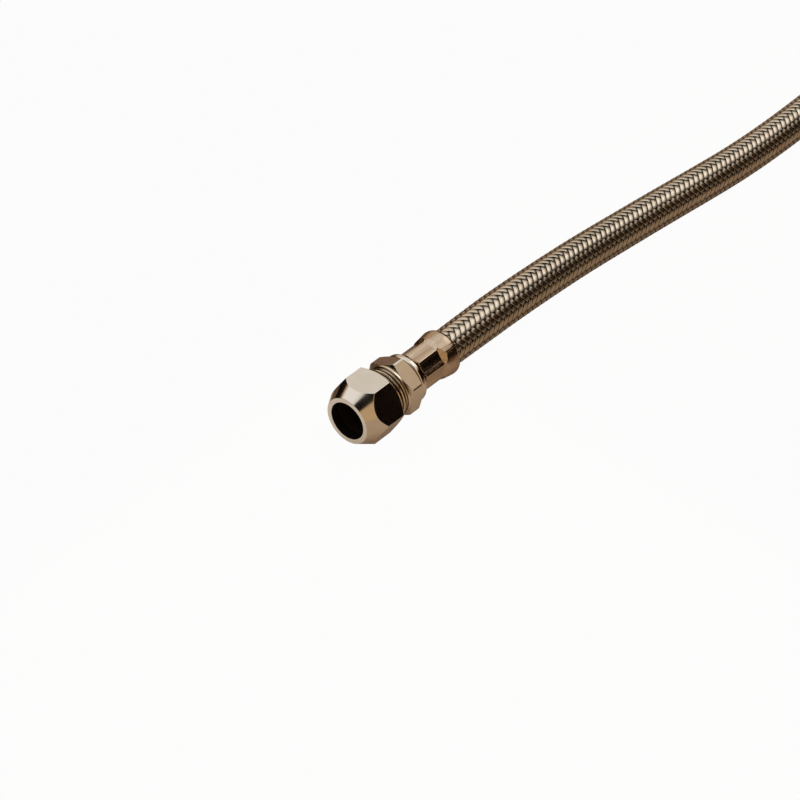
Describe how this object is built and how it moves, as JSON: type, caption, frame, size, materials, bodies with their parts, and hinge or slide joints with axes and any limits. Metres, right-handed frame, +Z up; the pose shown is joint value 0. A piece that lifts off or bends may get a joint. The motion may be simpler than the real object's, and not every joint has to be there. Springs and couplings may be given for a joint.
{
  "type": "flexible hose",
  "caption": "Braided flexible water hose, 300 mm long, with a 12 mm pipe compression fitting at one end and a loose hexagon swivel nut at the other.",
  "frame": {"origin": "On the ground, midway between the two fittings along their length and across it.", "axes": "+X runs level from the compression end towards the swivel end, along both fittings' axes. +Z is up from the ground. +Y is level, to the left of +X."},
  "size_m": [0.3, 0.032, 0.019],
  "materials": {
    "plated_brass": "turned brass with a warm nickel plate, polished",
    "bare_brass": "plain turned brass",
    "ferrule_steel": "pressed stainless steel, satin",
    "braid_steel": "woven stainless steel wire",
    "liner_rubber": "extruded black rubber",
    "washer_rubber": "moulded black rubber"
  },
  "bodies": {
    "hose": {"compression_body": "plated_brass", "compression_ferrule": "ferrule_steel", "inner_tube": "liner_rubber", "wire_braid": "braid_steel", "swivel_ferrule": "ferrule_steel", "swivel_tail": "plated_brass", "sealing_washer": "washer_rubber"},
    "olive": {"compression_olive": "bare_brass"},
    "clamp_nut": {"compression_nut": "plated_brass"},
    "loose_nut": {"swivel_nut": "plated_brass"}
  },
  "joints": [
    {"name": "olive_travel", "type": "slide", "parent": "hose", "child": "olive", "axis": [-1, 0, 0], "range_m": [0, 0.0035]},
    {"name": "clamp_nut_turn", "type": "hinge", "parent": "olive", "child": "clamp_nut", "pos_m": [-0.15, 0.005, 0.0095], "axis": [-1, 0, 0], "range_deg": [0, 900]},
    {"name": "swivel_nut_turn", "type": "hinge", "parent": "hose", "child": "loose_nut", "pos_m": [0.15, -0.005, 0.0095], "axis": [1, 0, 0], "continuous": true}
  ],
  "couplings": [
    {"joint": "olive_travel", "follows": "clamp_nut_turn", "m_per_rad": 0.00021279}
  ]
}
